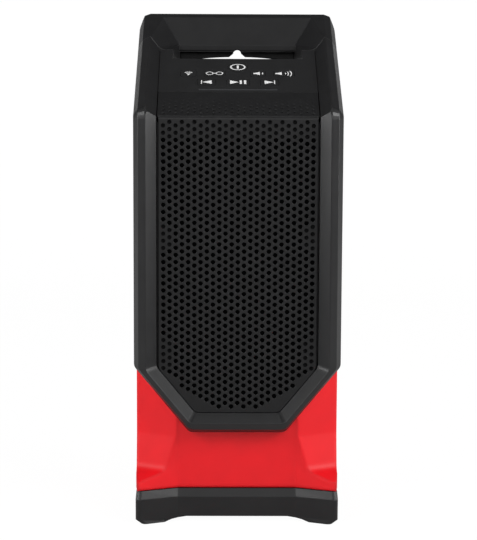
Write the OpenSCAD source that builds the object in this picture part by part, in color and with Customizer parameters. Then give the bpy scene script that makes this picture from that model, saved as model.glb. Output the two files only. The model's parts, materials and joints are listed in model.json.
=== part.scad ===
/* [Body] */
// Width over the two side rails
body_w = 146; // [142:1:152]
// Distance from the middle to the ridge at the front
front_y = 65; // [63:1:68]
// Distance from the middle to the back wall
back_y = 62; // [60:1:64]
// Radius of the upright corners at the back
back_r = 12; // [8:1:12]
// Thickness of the moulded walls
wall = 3; // [2:0.5:3.5]
// Gap between pieces that are fitted together
gap = 0.3; // [0.2:0.1:0.4]

/* [Front frame] */
// Thickness of the frame behind its ridge
frame_t = 14; // [13:0.5:15]
// Height of the frame's lower edge above the floor
frame_z = 66; // [63:1:68]
// Half width of the flat stretch at the lower edge
corner_x = 34; // [30:1:38]
// Height where the lower corner meets the side
corner_z = 113.5; // [108:0.5:118]
// Rounding of the frame's corners
corner_r = 6; // [3:0.5:8]
// Height of the fold between the front and the sloped top
fold_z = 294; // [290:1:298]
// Rounding of the ridge at the fold
fold_r = 10; // [6:0.5:14]
// Slope of the top, in degrees
slope = 28.5; // [27:0.5:30]
// Width of a side rail, from its outer side to the window
rail_w = 16; // [15:0.5:17]
// Width of the rail at the lower corner
rail_corner = 12; // [10:0.5:14]
// Width of the rail at the bottom
rail_low = 14; // [12:0.5:16]
// Distance of the ridge from the outer side
ridge_in = 8; // [6:0.5:9]
// Distance of the ridge from the lower corner's edge
ridge_corner = 4.9; // [4:0.1:6]
// Distance of the ridge from the lower edge
ridge_low = 7.5; // [6:0.5:9]
// Width of the outer bevel beside the ridge's facet
edge_in = 3.3; // [2.5:0.1:4]
// Drop from the ridge to the outer bevel
edge_drop = 2.1; // [1:0.1:3]
// Drop from the ridge to the flat side
side_drop = 7.5; // [6:0.5:9]
// Depth of the grille and the panel behind the ridge
recess = 8; // [7:0.5:8.5]

/* [Grille] */
// Distance between neighbouring holes
hole_pitch = 5.03; // [4.8:0.01:5.4]
// Diameter of a hole
hole_d = 3.2; // [2:0.1:3.6]
// Thickness of the grille
grille_t = 2; // [1.5:0.1:2.4]
// Radius of the grille's bend at the fold
bend_r = 3; // [2.6:0.2:6]
// Length of the grille on the sloped top, from the fold
grille_top = 33; // [28:1:35]

/* [Control panel] */
// Length from the fold to the panel's back edge
panel_len = 81; // [79:1:82]
// Thickness of the panel
panel_t = 3; // [2.5:0.1:3.2]
// Gap round each button
key_gap = 0.2; // [0.15:0.05:0.3]
// Length of a button along the slope, as a share of the distance between two rows
key_share = 0.694; // [0.55:0.002:0.71]
// Width of the flange that holds a button in
key_flange = 1.2; // [0.8:0.1:1.4]
// Travel of a button
key_travel = 0.6; // [0.4:0.1:0.8]
// Length of the status light
light_w = 56; // [40:1:80]

/* [Handle] */
// Where the handle meets the arms
joint_y = 26.5; // [25:0.5:28]
// Height of the joint between handle and housing
handle_z = 318; // [314:1:319]
// Half width of the hand opening
hand_x = 44; // [42:0.5:45]
// Height of the floor under the hand, at the back
hand_floor = 296; // [292:1:299]
// Height of the back skirt's edge in the middle
skirt_z = 328.4; // [327:0.2:330]
// Height of the hanging notch above that edge
notch_h = 5.3; // [4:0.1:7]

/* [Base] */
// Half width of the base
base_x = 72; // [71:0.5:73]
// Half width of the recessed middle of its front
toe_x = 42; // [38:1:44]
// How far the toes stand forward of the middle
toe_out = 11; // [9:0.5:12]
// Height of the joint between bumper and shell
bumper_z = 23.7; // [22:0.1:25]
// Height of the bumper's upright face
bumper_face = 18; // [15:0.5:19]
// Height of the arch between the feet
arch_h = 3.5; // [2:0.5:5]
// How far the foot pads stand out below the bumper
pad_out = 0.3; // [0.2:0.1:1]
// Angle of the shell's corner facets, in degrees
facet_a = 26.6; // [22:0.1:30]

/* [Battery] */
// Room beside the cells, up to the pack's side
pack_side = 8; // [7:0.5:9]
// Height of the battery pack
pack_h = 57; // [55:0.5:58]
// Length of the battery pack
pack_l = 99; // [98:0.5:100]
// Diameter of a cell
cell_d = 18; // [17:0.5:18.2]
// Length of a cell
cell_l = 64; // [60:1:65]
// Travel of a latch
latch_travel = 2.5; // [1.5:0.5:2.5]

/* [Speakers] */
// Height of the woofer's axis above the frame's lower edge
woofer_up = 84; // [83:1:88]
// Radius of the woofer's rim
woofer_r = 51; // [49:0.5:52]
// Radius of the woofer's magnet
magnet_r = 36; // [32:1:40]
// Distance between the rims of the two speakers
driver_gap = 10; // [6:1:14]
// Radius of the tweeter's rim
tweeter_r = 24; // [22:0.5:26]

/* [Hidden] */
$fn = 48;

black = "#232426";
dark = "#2f3033";
red = "#d72330";
steel = "#a8abae";
board_green = "#1f5a3a";
half_w = body_w / 2;
fold_a = (90 - slope) / 2;
frame_back = front_y - frame_t;
grille_y = front_y - recess;
panel_fold = fold_z - recess * tan(fold_a);
chamfer_dir = unit([half_w - corner_x, corner_z - frame_z]);
chamfer_in = [-chamfer_dir.y, chamfer_dir.x];
far = body_w + fold_z;
ridge_land = 0.1;
past = 6;

// Each section of the frame: inset at the side, at the lower corner and at the bottom, then its depth
sec_outer = [0, 0, 0, side_drop];
sec_back = [0, 0, 0, frame_t];
sec_ridge = [ridge_in, ridge_corner, ridge_low, 0];
sec_edge = concat([for (i = [0:2]) sec_ridge[i] * edge_in / ridge_in], [edge_drop]);
sec_window = [rail_w, rail_corner, rail_low, recess];
sec_inner = concat([for (i = [0:2]) sec_ridge[i] + (sec_window[i] - sec_ridge[i]) * ridge_land], [0]);
sec_flare = sec_inner + (sec_inner - sec_window) / 4;
sec_deep = sec_window + (sec_window - sec_inner) / 8;
sec_shoulder = sec_inner + (sec_window - sec_inner) * 0.775;
sec_grille = sec_window + [gap, gap, gap, 0];
sec_sheet = sec_window + [1.6, 0.5, 0.4, 0];
sec_rim = sec_window + [wall, wall, wall, 0];
sec_baffle = sec_window - [5, 6, 7, 0];
sec_gasket = sec_window - [4, 4, 5, 0];
sec_hood = [2, 1.5, 2, frame_t];
sec_front_wall = sec_baffle - [1, 1, 1, 0];

function unit(v) = v / norm(v);
function flip(points) = [for (i = [len(points) - 1:-1:0]) [-points[i].x, points[i].y]];
function turned(points) = [for (i = [len(points) - 1:-1:0]) points[i]];
function mirrored(points) = concat(points, [for (p = points) [-p.x, p.y, p.z]]);

// Points on the rounding of the corner b between a and c
function fillet(a, b, c, r, n = 4) = let (
    to_a = unit(a - b),
    to_c = unit(c - b),
    h = acos(to_a * to_c) / 2,
    middle = b + unit(to_a + to_c) * r / sin(h),
    start = b + to_a * r / tan(h) - middle,
    end = b + to_c * r / tan(h) - middle,
    a0 = atan2(start.y, start.x),
    turn = (atan2(end.y, end.x) - a0 + 540) % 360 - 180
) [for (i = [0:n]) middle + r * [cos(a0 + turn * i / n), sin(a0 + turn * i / n)]];

// Corners and outline of the frame's front at one section
function side_x(s) = half_w - s[0];
function low_z(s) = frame_z + s[2];
function chamfer_point(s) = [corner_x, frame_z] + s[1] * chamfer_in;
function side_corner(s) = let (q = chamfer_point(s))
    [side_x(s), q.y + (side_x(s) - q.x) * chamfer_dir.y / chamfer_dir.x];
function low_corner(s) = let (q = chamfer_point(s))
    [q.x + (low_z(s) - q.y) * chamfer_dir.x / chamfer_dir.y, low_z(s)];
function half_outline(s) = concat(
    fillet([0, low_z(s)], low_corner(s), side_corner(s), corner_r),
    fillet(low_corner(s), side_corner(s), [side_x(s), fold_z], corner_r));
function outline(s, top) = let (h = concat(half_outline(s), [[side_x(s), top]])) concat(h, flip(h));

// Heights of the fold and of the sloped top at a depth behind the ridge
function fold_at(depth) = fold_z - depth * tan(fold_a);
function slope_z(y, depth) = fold_z - depth / cos(slope) + (y + front_y) * tan(slope);
function slope_point(s, y) = [side_x(s), y, slope_z(y, s[3])];
function form_points(s, end_y) = let (y = s[3] - front_y, end = slope_point(s, end_y)) concat(
    [for (p = half_outline(s)) [p.x, y, p.y]],
    [for (p = fillet([y, 0], [y, fold_at(s[3])], [end.y, end.z], max(fold_r - s[3], ridge_land)))
        [side_x(s), p.x, p.y]],
    [end]);

// The point of the panel's own frame at u along the slope and h out of its face, as y and z
function panel_yz(u, h) = [u * cos(slope) - h * sin(slope) - grille_y,
    panel_fold + u * sin(slope) + h * cos(slope)];

module hull_of(points) {
    hull() polyhedron(points = points, faces = [[for (i = [0:len(points) - 1]) i]]);
}

// An outline in x and z, pushed from y0 to y1
module front_prism(points, y0, y1) {
    translate([0, y1, 0]) rotate([90, 0, 0]) linear_extrude(y1 - y0) polygon(points);
}

// A profile in y and z, pushed through the full width
module side_prism(points, half) {
    translate([-half, 0, 0]) rotate([90, 0, 90]) linear_extrude(2 * half) polygon(points);
}

// A box by its limits
module block(x0, x1, y0, y1, z0, z1) {
    translate([x0, y0, z0]) cube([x1 - x0, y1 - y0, z1 - z0]);
}

// A rod along y
module rod_y(x, y0, y1, z, r) {
    translate([x, y0, z]) rotate([-90, 0, 0]) cylinder(h = y1 - y0, r = r);
}

// A rod along z
module rod_z(x, y, z0, z1, r) {
    translate([x, y, z0]) cylinder(h = z1 - z0, r = r);
}

// Plan with round corners at the back
module back_plan(half, y_front, y_end, r, z0, z1) {
    translate([0, 0, z0]) linear_extrude(z1 - z0) {
        translate([-half, y_front]) square([2 * half, y_end - r - y_front]);
        translate([r - half, y_front]) square([2 * (half - r), y_end - y_front]);
        for (s = [-1, 1]) translate([s * (half - r), y_end - r]) circle(r);
    }
}

// A rectangle with round corners, about its middle
module round_rect(w, l, r) {
    square([w - 2 * r, l], center = true);
    square([w, l - 2 * r], center = true);
    for (x = [-1, 1], y = [-1, 1]) translate([x * (w / 2 - r), y * (l / 2 - r)]) circle(r);
}

// The panel's own frame: x across, y up the slope from the fold, z out of its face
module on_panel() {
    translate([0, -grille_y, panel_fold]) rotate([slope, 0, 0]) children();
}

// The whole outer form of frame, arms and handle
form_end = back_y + 12;
module upper_form() {
    hull_of(mirrored(concat(form_points(sec_outer, form_end), form_points(sec_edge, form_end),
        form_points(sec_ridge, form_end), form_points(sec_back, form_end),
        [[half_w, form_end, handle_z]])));
}

// Hollow in front of the grille
module front_recess() {
    hull_of(mirrored([for (s = [sec_deep, sec_flare], y = [s[3] - front_y])
        each concat([for (p = half_outline(s)) [p.x, y, p.y]], [[side_x(s), y, fold_at(s[3]) + past]])]));
}

// Hollow above the panel
module slope_recess() {
    hull_of(mirrored([for (s = [sec_deep, sec_flare], y = [s[3] - front_y - past, form_end])
        slope_point(s, y)]));
}

// Housing screws: long wells from the back lead to the frame
housing_screw_x = half_w - 6.5;
housing_screw_z = [corner_z + 14.5, (corner_z + fold_z - 7.5) / 2, fold_z - 22];
screw_r = 1.6;
head_r = 3.2;
head_h = 2.6;
well_y = 15 - frame_back;
frame_hole = 9;

// The arms' inner facets stop short of the handle
seam = 0.8;
seam_half = (side_x(sec_inner) - side_x(sec_window)) / 2;
seam_in = 0.5;

module at_housing_screws() {
    for (s = [-1, 1], z = housing_screw_z) translate([s * housing_screw_x, 0, z]) children();
}

module front_frame() {
    color(black) difference() {
        upper_form();
        side_prism([[-frame_back, 0], [-frame_back, fold_at(frame_t)], [far, slope_z(far, frame_t)],
            [far, 0]], body_w);
        front_recess();
        slope_recess();
        front_prism(outline(sec_window, panel_fold), -front_y, 0);
        side_prism([[-grille_y, panel_fold - past], [-grille_y, panel_fold], [far, slope_z(far, recess)],
            [far, panel_fold - past]], side_x(sec_window));
        block(-far, far, joint_y, far, 0, far);
        for (s = [-1, 1]) translate([s * (side_x(sec_inner) - seam_in - seam_half), 0, 0])
            block(-seam_half, seam_half, joint_y - seam, far, 0, far);
        at_housing_screws() rod_y(0, -frame_back - frame_hole, -frame_back + 1, 0, screw_r + gap / 2);
    }
}

// Grille: the flat front is pierced, with shallow dimples at its top and low sides, and its top folds back
flat_top = panel_fold - bend_r * tan(fold_a);
hole_col = hole_pitch * cos(30);
hole_low = frame_z + rail_low + 4.4;
hole_cols = floor((side_x(sec_window) - 4) / hole_col);
climb_col = 4;
jump_col = 9;
blind_rows = 3;
blind_cols = 2;
dimple_d = 1.4;
last_row = floor((flat_top - hole_low) / hole_pitch);
// Rows between which the outer columns are blind, in front of the bosses behind the grille
boss_rows = [[5.3, 9.7], [22.3, 25.7]];
function hole_floor(i) = hole_low + max(0, abs(i) - climb_col) * hole_pitch / 2
    + (abs(i) > jump_col ? hole_pitch : 0);
function hole_row(i, j) = j + (i % 2 == 0 ? 0.5 : 0);
function hole_z(i, j) = hole_low + hole_row(i, j) * hole_pitch;
function on_boss(row) = len([for (b = boss_rows) if (row > b[0] && row < b[1]) b]) > 0;
function blind(i, j) = j > last_row - blind_rows
    || (abs(i) > hole_cols - blind_cols && on_boss(hole_row(i, j)));

module grille_bend() {
    inner = [-grille_y + grille_t, panel_fold - grille_t * tan(fold_a)];
    start = [-grille_y, flat_top - 1];
    corner = [-grille_y, panel_fold];
    end = panel_yz(grille_top, 0);
    end_in = panel_yz(grille_top, -grille_t);
    start_in = start + [grille_t, 0];
    side_prism(concat([start], fillet(start, corner, end, bend_r, 10), [end, end_in],
        turned(fillet(start_in, inner, end_in, bend_r - grille_t, 10)), [start_in]), side_x(sec_sheet));
}

module at_holes(through) {
    for (i = [-hole_cols:hole_cols], j = [0:last_row])
        if (hole_z(i, j) > hole_floor(i) - 0.1 && hole_z(i, j) < flat_top - hole_d / 2
            && blind(i, j) != through)
            translate([i * hole_col, hole_z(i, j)]) circle(d = hole_d, $fn = 24);
}

module front_grille() {
    color(dark) difference() {
        union() {
            translate([0, grille_t - grille_y, 0]) rotate([90, 0, 0]) linear_extrude(grille_t) difference() {
                polygon(outline(sec_sheet, flat_top));
                at_holes(true);
            }
            grille_bend();
        }
        translate([0, dimple_d - grille_y, 0]) rotate([90, 0, 0]) linear_extrude(past) at_holes(false);
    }
}

// Cloth, rim, gasket and baffle stand one behind the other
cloth_t = 0.5;
cloth_y = -grille_y + grille_t + 0.1;
rim_y = cloth_y + cloth_t + 0.1;
baffle_y = -frame_back + 1.5;
baffle_t = 8;
baffle_top = flat_top - 2;
rim_depth = 3;

module grille_cloth() {
    color("#111214")
        front_prism(outline(sec_grille + [1, 1, 1, 0], baffle_top), cloth_y, cloth_y + cloth_t);
}

module frame_gasket() {
    color("#1a1a1a") difference() {
        front_prism(outline(sec_gasket, baffle_top), -frame_back + 0.1, baffle_y - 0.1);
        front_prism(outline(sec_window, baffle_top + past), -front_y, 0);
    }
}

module driver_baffle() {
    color(dark) difference() {
        union() {
            front_prism(outline(sec_baffle, baffle_top), baffle_y, baffle_y + baffle_t);
            difference() {
                front_prism(outline(sec_grille, baffle_top), rim_y, baffle_y + 1);
                front_prism(outline(sec_rim, baffle_top - wall), rim_y - 1, baffle_y);
            }
        }
        rod_y(0, baffle_y - 1, baffle_y + rim_depth, woofer_z, woofer_r + gap);
        rod_y(0, baffle_y - 1, baffle_y + 2 * baffle_t, woofer_z, woofer_r - 4.2);
        rod_y(0, baffle_y - 1, baffle_y + rim_depth, tweeter_z, tweeter_r + gap);
        rod_y(0, baffle_y - 1, baffle_y + 2 * baffle_t, tweeter_z, tweeter_r - 5);
        at_woofer_screws() rod_y(0, baffle_y, baffle_y + baffle_t - 1, 0, 1.2 + gap / 2);
        at_tweeter_screws() rod_y(0, baffle_y, baffle_y + baffle_t - 1, 0, 1.2 + gap / 2);
    }
}

// Rear housing with the hand opening at its top
base_top = corner_z;
panel_edge = panel_yz(panel_len, 0);
hand_wall = panel_edge.x + 9.8;
hand_profile = [[panel_edge.x + 1, far], [panel_edge.x + 1, panel_edge.y - 4], [hand_wall, hand_floor + 7],
    [far, hand_floor - 7], [far, far]];
hand_shell = [[panel_edge.x + 1 - wall, far], [panel_edge.x + 1 - wall, panel_edge.y - 5],
    [hand_wall - wall, hand_floor + 7 - wall], [far, hand_floor - 7 - wall], [far, far]];
housing_front = -frame_back + gap;
housing_low = base_top + gap;
housing_depth = frame_t + gap;
inner_back = back_y - wall;
tower_top = handle_z - gap;

module housing_outside() {
    intersection() {
        side_prism([[housing_front, housing_low], [far, housing_low], [far, tower_top],
            [joint_y, tower_top], [joint_y, slope_z(joint_y, housing_depth)],
            [housing_front, slope_z(housing_front, housing_depth)]], half_w);
        back_plan(half_w, housing_front, back_y, back_r, 0, far);
    }
}

module housing_inside() {
    difference() {
        intersection() {
            side_prism([[-far, 0], [far, 0], [far, tower_top - wall], [joint_y - wall, tower_top - wall],
                [joint_y - wall, far], [-far, far]], half_w - wall);
            back_plan(half_w - wall, -far, inner_back, back_r - wall, 0, far);
        }
        side_prism(hand_shell, hand_x + wall);
    }
}

module rear_housing() {
    color(black) difference() {
        union() {
            difference() {
                housing_outside();
                housing_inside();
                side_prism(hand_profile, hand_x);
            }
            intersection() {
                housing_outside();
                at_housing_screws() rod_y(0, well_y - 5, back_y, 0, 4.5);
            }
            at_board_screws() rod_y(0, board_y + board_t + 0.1, inner_back + 1, 0, 4);
        }
        at_housing_screws() {
            rod_y(0, well_y, far, 0, head_r + gap);
            rod_y(0, well_y - 6, far, 0, screw_r + gap / 2);
        }
        at_board_screws() rod_y(0, board_y, inner_back - 1, 0, 1.2 + gap / 2);
        at_handle_screws() rod_z(0, 0, tower_top - 2 * wall, far, screw_r + gap / 2);
        translate([port_x, 0, port_z]) {
            block(-cover_w / 2 - gap - cover_t / 2, cover_w / 2 + gap, back_y - cover_t - gap, far,
                -cover_h / 2 - gap, cover_h / 2 + gap);
            block(-socket_w / 2 - gap, socket_w / 2 + gap, 0, far, -socket_h / 2 - gap, socket_h / 2 + gap);
        }
    }
}

module housing_screws() {
    color(steel) at_housing_screws() {
        rod_y(0, well_y + 0.1, well_y + 0.1 + head_h, 0, head_r);
        rod_y(0, -frame_back - frame_hole + 1, well_y + 1, 0, screw_r);
    }
}

// Handle: a hopper with a steep plate and two side facets leads down to the hand opening
plate_top = [side_x(sec_window) - 1.5, back_y - 9.5];
plate_low = [hand_x - 1, back_y - 16, slope_z(joint_y, recess) + 2.9];
plate_t = 4;
lip_h = 5;
lip_r = 1.2;
top_y = back_y - 4.5;
top_z = slope_z(top_y, 0);
skirt_t = 4;
arch_r = 262;
opening_flare = 3.2;
notch_w = 12;
notch_side = concat([[notch_w / 2, skirt_z - past], [notch_w / 2, skirt_z]],
    fillet([notch_w / 4, skirt_z], [notch_w / 4, skirt_z + notch_h], [0, skirt_z + notch_h],
        notch_w / 4 - 0.1));
function skirt_edge(x) = skirt_z - arch_r + sqrt(arch_r * arch_r - x * x);

module hopper() {
    hull_of(mirrored([
        plate_low,
        [plate_top.x, plate_top.y, slope_z(plate_top.y, 0)],
        [plate_top.x, plate_top.y, slope_z(plate_top.y, 0) + 2 * past],
        for (y = [joint_y - past, joint_y]) each [
            slope_point(sec_inner, y),
            slope_point(sec_inner, y) + [0, 0, 4 * past],
            slope_point(sec_shoulder, y)
        ]
    ]));
}

// The opening's ends draw in towards the back
module hand_opening() {
    low = slope_z(joint_y, recess) - 11;
    high = plate_low.z + 1;
    front_x = hand_x + opening_flare;
    half = [[front_x, joint_y - past], [front_x, joint_y], [plate_low.x, plate_low.y + 2],
        [plate_low.x, back_y - skirt_t]];
    translate([0, 0, low]) linear_extrude(high - low) polygon(concat(half, flip(half)));
    block(-hand_x, hand_x, joint_y - past, far, handle_z - past, low + 1);
}

module carry_handle() {
    color(black) difference() {
        intersection() {
            upper_form();
            back_plan(half_w, joint_y + gap, back_y, back_r, handle_z, far);
            side_prism([[0, 0], [back_y, 0], [back_y, top_z - 5], [top_y, top_z], [0, top_z]], half_w);
        }
        hopper();
        difference() {
            hand_opening();
            side_prism(concat([[plate_low.y, plate_low.z + past]],
                fillet([plate_low.y, plate_low.z + past], [plate_low.y, plate_low.z - lip_h],
                    [far, plate_low.z - lip_h], lip_r),
                [[plate_low.y + 2 * lip_h, plate_low.z - lip_h], [plate_low.y + 2 * lip_h, far]]), half_w);
            block(-half_w, half_w, back_y - skirt_t, far, 0, far);
        }
        side_prism([[plate_low.y + plate_t + 1, plate_low.z - 2 * lip_h],
            [plate_top.y + plate_t - 1, top_z - 2 * plate_t], [back_y - skirt_t, top_z - 2 * plate_t],
            [back_y - skirt_t, plate_low.z - 2 * lip_h]], hand_x - 1);
        front_prism(concat([[hand_x, 0]], [for (x = [hand_x:-4:-hand_x]) [x, skirt_edge(x)]],
            [[-hand_x, 0]]), back_y - 2 * skirt_t, far);
        front_prism(concat(notch_side, flip(notch_side)), joint_y, far);
        at_handle_screws() rod_z(0, 0, 0, handle_z + 12, screw_r + gap / 2);
    }
}

module at_handle_screws() {
    for (s = [-1, 1], y = [joint_y + 9, back_y - 10]) translate([s * (half_w - 13), y, 0]) children();
}

module handle_screws() {
    color(steel) at_handle_screws() {
        rod_z(0, 0, tower_top - wall - 0.1 - head_h, tower_top - wall - 0.1, head_r);
        rod_z(0, 0, tower_top - wall - 1, handle_z + 11, screw_r);
    }
}

// Control panel and its buttons, each given as its place across, its place up the slope and its width
light_u = grille_top + 4;
row_top = panel_len - 12.1;
row_mid = light_u + (row_top - light_u) * 0.7147;
row_low = light_u + (row_top - light_u) * 0.326;
key_l = (row_mid - row_low) * key_share;
panel_half = side_x(sec_window);
play_key = [0, row_low, 16];
previous_key = [-0.3965 * panel_half, row_low, 13];
next_key = [0.3965 * panel_half, row_low, 13];
wireless_key = [-0.6246 * panel_half, row_mid, 11];
link_key = [-0.2947 * panel_half, row_mid, 15];
volume_down_key = [0.2544 * panel_half, row_mid, 10.5];
volume_up_key = [0.5825 * panel_half, row_mid, 15];
power_key = [0, row_top, (row_top - light_u) * 0.4389];
keys = [play_key, previous_key, next_key, wireless_key, link_key, volume_down_key, volume_up_key,
    power_key];
key_corner = 1.5;
flange_t = 1;
key_low = -(panel_t + gap + flange_t);
stem_low = key_low - 0.6;
switch_top = stem_low - key_travel - 0.2;
pad_top = switch_top - 4.3;
pad_t = 1.6;
panel_low = grille_top + gap;
panel_ear = (joint_y - gap + grille_y) / cos(slope) - recess * tan(slope) / 4;
ear_x = hand_x + opening_flare;
lip_d = (frame_t - recess) - 0.1;
light_l = 1.3;
post_x = 0.7544 * panel_half;
post_r = 3;
post_u = [panel_len - 37, panel_len - 11];

module key_shape(key, grow) {
    translate([key.x, key.y]) if (key == power_key) circle(d = key.z + 2 * grow);
    else round_rect(key.z + 2 * grow, key_l + 2 * grow, key_corner);
}

module at_posts() {
    for (s = [-1, 1], u = post_u) translate([s * post_x, u, 0]) children();
}

module panel_outline() {
    x = side_x(sec_grille);
    polygon([[-x, panel_low], [x, panel_low], [x, panel_ear], [ear_x, panel_ear], [ear_x, panel_len],
        [-ear_x, panel_len], [-ear_x, panel_ear], [-x, panel_ear]]);
}

module control_panel() {
    color(black) on_panel() difference() {
        union() {
            translate([0, 0, -panel_t]) linear_extrude(panel_t) panel_outline();
            block(-ear_x - wall, ear_x + wall, panel_len - wall, panel_len, -lip_d, -1);
            for (s = [-1, 1]) translate([s * (ear_x + wall / 2), 0, 0])
                block(-wall / 2, wall / 2, panel_len - wall, panel_ear - lip_d * tan(slope), -lip_d, -1);
            at_posts() rod_z(0, 0, pad_top + 0.1, -1, post_r);
        }
        translate([0, 0, -far]) linear_extrude(2 * far) {
            for (key = keys) key_shape(key, key_gap);
            translate([0, light_u]) square([light_w + 2 * key_gap, light_l + 2 * key_gap], center = true);
        }
        at_posts() rod_z(0, 0, pad_top - 1, -panel_t, 1.2);
    }
}

module status_light() {
    color("#c9ced2") on_panel() translate([0, light_u, -panel_t]) linear_extrude(panel_t)
        square([light_w, light_l], center = true);
}

module button(key) {
    color(dark) on_panel() {
        translate([0, 0, key_low + flange_t / 2]) linear_extrude(-key_low - flange_t / 2) key_shape(key, 0);
        translate([0, 0, key_low]) linear_extrude(flange_t) key_shape(key, key_flange);
        rod_z(key.x, key.y, stem_low, key_low + flange_t / 2, 2);
    }
}

module power_button() { button(power_key); }
module wireless_button() { button(wireless_key); }
module link_button() { button(link_key); }
module volume_down_button() { button(volume_down_key); }
module volume_up_button() { button(volume_up_key); }
module previous_button() { button(previous_key); }
module play_button() { button(play_key); }
module next_button() { button(next_key); }

module keypad_board() {
    color(board_green) on_panel() difference() {
        block(-post_x - 4, post_x + 4, post_u[0] - 4, post_u[1] + 4, pad_top - pad_t, pad_top);
        at_posts() rod_z(0, 0, -far, far, 1.2 + gap / 2);
    }
}

module keypad_switches() {
    color("#3a3a3c") on_panel() for (key = keys) translate([key.x, key.y, 0]) {
        block(-3, 3, -3, 3, pad_top + 0.05, switch_top - 1);
        rod_z(0, 0, switch_top - 2, switch_top, 1.7);
    }
}

module keypad_screws() {
    color(steel) on_panel() at_posts() {
        rod_z(0, 0, pad_top - pad_t - 0.1 - 1.8, pad_top - pad_t - 0.1, 2.4);
        rod_z(0, 0, pad_top - pad_t - 1, pad_top + 4, 1.1);
    }
}

// Speakers: profiles in radius and height, turned about an axis that faces forward from the baffle's face
woofer_z = frame_z + woofer_up;
tweeter_z = woofer_z + woofer_r + driver_gap + tweeter_r;
coil_r = 13.5;
coil_gap = 1.1;
cone_r = woofer_r - 15;
basket_d = 30;
magnet_d = 20;
cone_d = 20;

module on_axis(z) {
    translate([0, baffle_y, z]) rotate([90, 0, 0]) children();
}

module at_woofer_screws() {
    r = woofer_r - 3;
    for (a = [45:90:315]) translate([r * cos(a), 0, woofer_z + r * sin(a)]) children();
}

module at_tweeter_screws() {
    r = tweeter_r - 3;
    for (a = [90:120:330]) translate([r * cos(a), 0, tweeter_z + r * sin(a)]) children();
}

module woofer_basket() {
    rim_in = woofer_r - 7;
    foot = magnet_r - 3;
    color("#3b3c3e") difference() {
        on_axis(woofer_z) rotate_extrude() polygon([[rim_in, 0], [woofer_r, 0],
            [woofer_r, -rim_depth + 0.1], [rim_in + 2.5, -rim_depth + 0.1], [foot, -basket_d],
            [coil_r + coil_gap + 0.4, -basket_d], [coil_r + coil_gap + 0.4, 2 - basket_d],
            [foot - 1.5, 2 - basket_d], [rim_in, -rim_depth]]);
        on_axis(woofer_z) for (a = [0:90:270]) rotate([0, 0, a])
            block(foot - 3, woofer_r, -14, 14, 5 - basket_d, -8);
        at_woofer_screws() rod_y(0, -front_y, 0, 0, 1.2 + gap / 2);
    }
}

module woofer_magnet() {
    top = -basket_d - 0.1;
    low = -basket_d - magnet_d;
    inner = coil_r - coil_gap;
    outer = coil_r + coil_gap;
    color("#4a4b4d") on_axis(woofer_z) rotate_extrude() polygon([[outer, top], [magnet_r - 2, top],
        [magnet_r - 2, top - 4], [magnet_r, top - 4], [magnet_r, low + 4], [magnet_r - 1, low + 4],
        [magnet_r - 1, low], [0, low], [0, top], [inner, top], [inner, low + 4], [outer, low + 4]]);
}

module woofer_surround() {
    middle = (cone_r + 0.5 + woofer_r - 7.2) / 2;
    roll = (woofer_r - 7.2 - cone_r - 0.5) / 2;
    color("#151517") on_axis(woofer_z) translate([0, 0, -rim_depth]) rotate_extrude() difference() {
        translate([middle, 0]) circle(roll);
        translate([middle, 0]) circle(roll - 0.8);
        translate([0, -2 * roll]) square([2 * woofer_r, 2 * roll]);
    }
}

module woofer_spider() {
    color("#8a6a3c") on_axis(woofer_z) translate([0, 0, 4 - basket_d]) rotate_extrude()
        translate([coil_r + 0.8, 0]) square([magnet_r - 5 - coil_r, 0.8]);
}

module woofer_cone() {
    color("#1c1c1e") on_axis(woofer_z) rotate_extrude() polygon([[coil_r + 0.6, -cone_d],
        [cone_r, -rim_depth - 0.8], [cone_r, -rim_depth + 0.2], [coil_r + 0.6, 1.2 - cone_d]]);
}

module woofer_dust_cap() {
    cap_r = 16;
    rim_h = 9;
    color("#1c1c1e") on_axis(woofer_z) translate([0, 0, 2.3 - cone_d - rim_h]) difference() {
        sphere(cap_r);
        sphere(cap_r - 0.8);
        block(-far, far, -far, far, -far, rim_h);
    }
}

module voice_coil() {
    color("#b87333") on_axis(woofer_z) rotate_extrude() translate([coil_r - 0.4, -basket_d - 12])
        square([0.8, basket_d + 12 - cone_d + 2]);
}

module woofer_screws() {
    color(steel) at_woofer_screws() {
        rod_y(0, baffle_y - 1.7, baffle_y - 0.1, 0, 2.4);
        rod_y(0, baffle_y - 1, baffle_y + baffle_t - 2, 0, 1.2);
    }
}

module tweeter_body() {
    cup = tweeter_r - 6;
    color("#3b3c3e") difference() {
        on_axis(tweeter_z) rotate_extrude() polygon([[13, 0], [tweeter_r, 0], [tweeter_r, -rim_depth + 0.1],
            [cup, -rim_depth + 0.1], [cup, -22], [0, -22], [0, -6], [13, -4]]);
        at_tweeter_screws() rod_y(0, -front_y, 0, 0, 1.2 + gap / 2);
    }
}

module tweeter_dome() {
    dome_r = 14;
    rim_h = 9;
    color("#6b6d70") on_axis(tweeter_z) translate([0, 0, -4 - rim_h]) difference() {
        sphere(dome_r);
        sphere(dome_r - 0.6);
        block(-far, far, -far, far, -far, rim_h);
    }
}

module tweeter_screws() {
    color(steel) at_tweeter_screws() {
        rod_y(0, baffle_y - 1.7, baffle_y - 0.1, 0, 2.4);
        rod_y(0, baffle_y - 1, baffle_y + baffle_t - 2, 0, 1.2);
    }
}

// Main board on posts inside the back wall, parts facing forward
board_y = back_y - 12;
board_t = 1.6;
board_x = half_w - 29;
board_low = housing_low + 32.2;
board_high = fold_z - 32;
board_inset = 6;
cap_d = 16;
cap_l = 25;
cap_z = board_low + cap_d;
coil_w = 16;
coil_t = 10;
coil_x = 24;
coil_z = cap_z + 28;
part_gap = 0.05;

module at_board_screws() {
    for (s = [-1, 1], z = [board_low + board_inset, board_high - board_inset])
        translate([s * (board_x - board_inset), 0, z]) children();
}

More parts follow.
